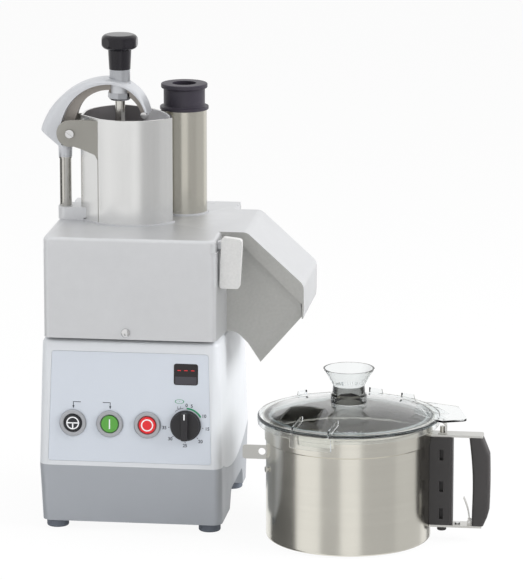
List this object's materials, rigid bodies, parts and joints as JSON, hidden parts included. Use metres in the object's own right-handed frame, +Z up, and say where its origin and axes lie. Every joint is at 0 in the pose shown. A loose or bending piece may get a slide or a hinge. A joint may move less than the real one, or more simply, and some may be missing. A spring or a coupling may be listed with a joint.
{
  "type": "commercial food processor",
  "caption": "Table-top food processor with a slicing head, arched pusher lever, feed tubes and angled chute, beside its stainless cutter bowl with a clear lid and side handle.",
  "frame": {"origin": "middle of the footprint of the whole set, on the surface it stands on", "axes": "+X to the right as seen from the front, +Y to the back, +Z up"},
  "size_m": [0.6454, 0.4054, 0.684],
  "materials": {
    "base_paint": "grey metallic paint",
    "cast": "satin cast and polished aluminium",
    "dark_rubber": "matt",
    "steel": "brushed stainless steel",
    "black_plastic": "matt moulded plastic",
    "panel": "pale printed sheet",
    "window": "gloss",
    "bezel": "satin",
    "board": "circuit board on a finned heat sink",
    "iron": "laminated sheet iron",
    "copper": "enamelled wire",
    "bright": "polished",
    "green": "gloss",
    "red": "gloss",
    "bronze": "sintered bronze",
    "grey_plastic": "matt moulded plastic",
    "clear": "clear moulded polycarbonate"
  },
  "bodies": {
    "motor_base": {"lower_base": "base_paint", "upper_housing": "cast", "feet": "dark_rubber", "bottom_cover": "steel", "cover_screws": "steel", "cable_gland": "black_plastic", "control_panel": "panel", "display_window": "window", "button_bezels": "bezel", "speed_controller": "board", "motor_casing": "cast", "motor_flange": "cast", "motor_stator": "iron", "motor_windings": "copper", "motor_bearings": "bright", "shaft_seal": "dark_rubber", "vegetable_bowl": "cast", "front_stud": "bright", "latch_bracket": "cast", "hinge_pin": "steel"},
    "drive": {"motor_rotor": "iron", "drive_shaft": "steel", "cooling_fan": "black_plastic", "discharge_plate": "cast", "slicing_disc": "steel", "disc_nut": "black_plastic"},
    "pulse_button": {"pulse_button": "black_plastic"},
    "start_button": {"start_button": "green"},
    "stop_button": {"stop_button": "red"},
    "speed_knob": {"speed_knob": "black_plastic"},
    "latch": {"latch_lever": "cast"},
    "feed_head": {"feed_head_cover": "cast", "large_hopper": "cast", "small_hopper_tube": "cast", "lever_ears": "cast", "lever_pin": "bright", "rod_block": "cast"},
    "lever": {"lever_arm": "cast", "lever_bushing": "bronze", "pusher_bushing": "bezel", "tip_pin": "bright"},
    "pusher": {"pusher_rod": "bright", "pusher_plate": "cast", "pusher_knob": "black_plastic"},
    "restart_rod": {"restart_rod": "bright"},
    "small_pusher": {"small_pusher": "black_plastic"},
    "cutter_bowl": {"cutter_bowl": "steel", "bowl_tab": "steel", "handle_bracket": "grey_plastic", "handle_straps": "steel", "handle_grip": "grey_plastic", "handle_screws": "bright", "interlock_bracket": "steel"},
    "bowl_lid": {"bowl_lid": "clear", "lid_seal": "dark_rubber"},
    "blade": {"blade_hub": "cast", "cutter_blades": "steel", "blade_cap": "black_plastic"},
    "interlock_rod": {"interlock_rod": "bright"},
    "handle_spring": {"handle_spring": "steel"}
  },
  "joints": [
    {"name": "feed_head_hinge", "type": "hinge", "parent": "motor_base", "child": "feed_head", "pos_m": [-0.17925, 0.1746, 0.4119], "axis": [-1, 0, 0], "range_deg": [0, 85]},
    {"name": "lever_hinge", "type": "hinge", "parent": "feed_head", "child": "lever", "pos_m": [-0.27925, 0.0386, 0.546], "axis": [0, -1, 0], "range_deg": [0, 65]},
    {"name": "pusher_slide", "type": "slide", "parent": "lever", "child": "pusher", "axis": [0, 0, 1], "range_m": [0, 0.038]},
    {"name": "restart_rod_slide", "type": "slide", "parent": "feed_head", "child": "restart_rod", "axis": [0, 0, 1], "range_m": [0, 0.0061]},
    {"name": "small_pusher_slide", "type": "slide", "parent": "feed_head", "child": "small_pusher", "axis": [0, 0, 1], "range_m": [0, 0.16]},
    {"name": "latch_hinge", "type": "hinge", "parent": "motor_base", "child": "latch", "pos_m": [-0.0409, -0.0799, 0.36], "axis": [1, 0, 0], "range_deg": [0, 85]},
    {"name": "drive_spin", "type": "hinge", "parent": "motor_base", "child": "drive", "pos_m": [-0.17925, 0.0456, 0.3], "axis": [0, 0, 1], "continuous": true},
    {"name": "pulse_press", "type": "slide", "parent": "motor_base", "child": "pulse_button", "axis": [0, 0.9976, -0.0696], "range_m": [0, 0.003], "stiffness_N_per_m": 400},
    {"name": "start_press", "type": "slide", "parent": "motor_base", "child": "start_button", "axis": [0, 0.9976, -0.0696], "range_m": [0, 0.003], "stiffness_N_per_m": 400},
    {"name": "stop_press", "type": "slide", "parent": "motor_base", "child": "stop_button", "axis": [0, 0.9976, -0.0696], "range_m": [0, 0.003], "stiffness_N_per_m": 400},
    {"name": "speed_turn", "type": "hinge", "parent": "motor_base", "child": "speed_knob", "pos_m": [-0.10025, -0.101, 0.15805], "axis": [0, 0.9976, -0.0696], "range_deg": [0, 260]},
    {"name": "cutter_bowl_lift", "type": "slide", "parent": "motor_base", "child": "cutter_bowl", "axis": [0, -0.7071, 0.7071], "range_m": [0, 0.25]},
    {"name": "bowl_lid_lift", "type": "slide", "parent": "cutter_bowl", "child": "bowl_lid", "axis": [0, 0, 1], "range_m": [0, 0.045]},
    {"name": "blade_spin", "type": "hinge", "parent": "cutter_bowl", "child": "blade", "pos_m": [0.12475, -0.0744, 0.05], "axis": [0, 0, 1], "continuous": true},
    {"name": "interlock_slide", "type": "slide", "parent": "cutter_bowl", "child": "interlock_rod", "axis": [0, 0, -1], "range_m": [0, 0.0045], "stiffness_N_per_m": 300, "springref_m": -0.002},
    {"name": "handle_spring_hinge", "type": "hinge", "parent": "cutter_bowl", "child": "handle_spring", "pos_m": [0.29425, -0.0744, 0.027], "axis": [0, 1, 0], "range_deg": [0, 12], "stiffness_Nm_per_rad": 0.3}
  ],
  "couplings": [
    {"joint": "restart_rod_slide", "follows": "lever_hinge", "m_per_rad": 0.00529}
  ]
}
